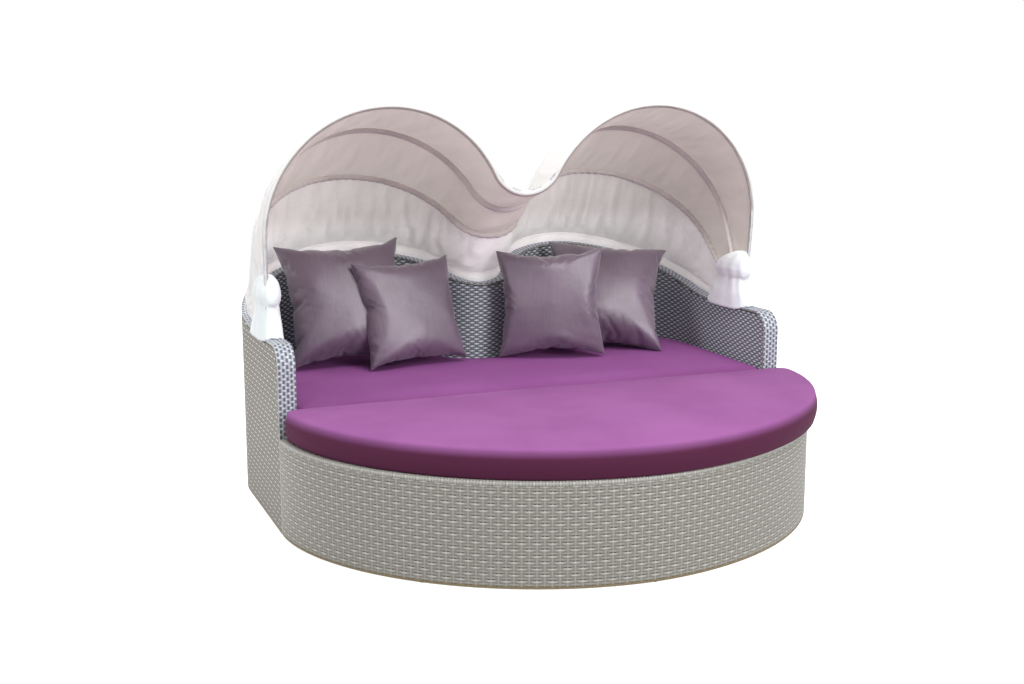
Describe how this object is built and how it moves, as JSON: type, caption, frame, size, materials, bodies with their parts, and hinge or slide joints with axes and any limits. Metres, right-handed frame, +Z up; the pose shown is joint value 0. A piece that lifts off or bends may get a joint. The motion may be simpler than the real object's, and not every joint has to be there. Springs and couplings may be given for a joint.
{
  "type": "outdoor daybed with canopy",
  "caption": "Heart shaped woven outdoor daybed with a folding canopy on M shaped hoops, plum cushions, loose pillows and a half moon front piece that pulls away.",
  "frame": {"origin": "centre of the overall box, on the floor", "axes": "+X across the width, to the right in the picture; +Y to the back; +Z up"},
  "size_m": [2, 1.9398, 1.485],
  "materials": {
    "wicker": "flat strips of synthetic wicker in a plain weave",
    "wicker_edge": "pale strips of synthetic wicker in a ladder weave",
    "frame": "powder coated and welded",
    "hoop": "satin bent tube",
    "steel": "stainless",
    "canopy_cloth": "off white outdoor cloth",
    "plum_cloth": "plum outdoor cloth over foam",
    "pillow_cloth": "mauve grey satin with a vertical slub",
    "glide": "moulded",
    "spacer": "nylon"
  },
  "bodies": {
    "back_section": {"wall_weave": "wicker", "edge_band": "wicker_edge", "wall_frame": "frame", "seat_deck": "frame", "seat_front_weave": "wicker", "seat_glide_1": "glide", "seat_glide_2": "glide", "seat_glide_3": "glide", "seat_glide_4": "glide", "seat_glide_5": "glide", "seat_glide_6": "glide", "seat_glide_7": "glide", "seat_cushion": "plum_cloth", "large_pillow_left": "pillow_cloth", "small_pillow_left": "pillow_cloth", "small_pillow_right": "pillow_cloth", "large_pillow_right": "pillow_cloth", "right_pivot_bracket": "steel", "left_pivot_bracket": "steel", "right_pivot_bolt": "steel", "left_pivot_bolt": "steel", "right_pivot_nut": "steel", "left_pivot_nut": "steel", "right_pivot_spacer_inner": "spacer", "left_pivot_spacer_inner": "spacer", "right_pivot_spacer_outer": "spacer", "left_pivot_spacer_outer": "spacer", "right_bracket_screw_front": "steel", "left_bracket_screw_front": "steel", "right_bracket_screw_back": "steel", "left_bracket_screw_back": "steel", "right_boot": "canopy_cloth", "left_boot": "canopy_cloth", "canopy_hem": "canopy_cloth", "rear_panel": "canopy_cloth"},
    "rear_hoop": {"rear_hoop": "hoop", "rear_sleeve": "canopy_cloth", "middle_panel": "canopy_cloth"},
    "middle_hoop": {"middle_hoop": "hoop", "middle_sleeve": "canopy_cloth", "front_panel": "canopy_cloth"},
    "front_hoop": {"front_hoop": "hoop", "front_sleeve": "canopy_cloth"},
    "half_moon": {"moon_weave": "wicker", "moon_edge_band": "wicker_edge", "moon_back_weave": "wicker", "moon_frame": "frame", "moon_deck": "frame", "moon_glide_1": "glide", "moon_glide_2": "glide", "moon_glide_3": "glide", "moon_glide_4": "glide", "moon_glide_5": "glide", "moon_cushion": "plum_cloth"}
  },
  "joints": [
    {"name": "rear_fold", "type": "hinge", "parent": "back_section", "child": "rear_hoop", "pos_m": [0, 0.1485, 0.688], "axis": [-1, 0, 0], "range_deg": [0, 22], "deforming": ["rear_panel", "right_boot", "left_boot"]},
    {"name": "middle_fold", "type": "hinge", "parent": "rear_hoop", "child": "middle_hoop", "pos_m": [0, 0.1485, 0.688], "axis": [-1, 0, 0], "range_deg": [0, 21.6], "deforming": ["middle_panel"]},
    {"name": "front_fold", "type": "hinge", "parent": "middle_hoop", "child": "front_hoop", "pos_m": [0, 0.1485, 0.688], "axis": [-1, 0, 0], "range_deg": [0, 24.1], "deforming": ["front_panel"]},
    {"name": "half_moon_slide", "type": "slide", "parent": "back_section", "child": "half_moon", "axis": [0, -1, 0], "range_m": [0, 0.6]}
  ],
  "couplings": [
    {"joint": "middle_fold", "follows": "rear_fold", "ratio": 0.9773},
    {"joint": "front_fold", "follows": "rear_fold", "ratio": 1.0909}
  ]
}
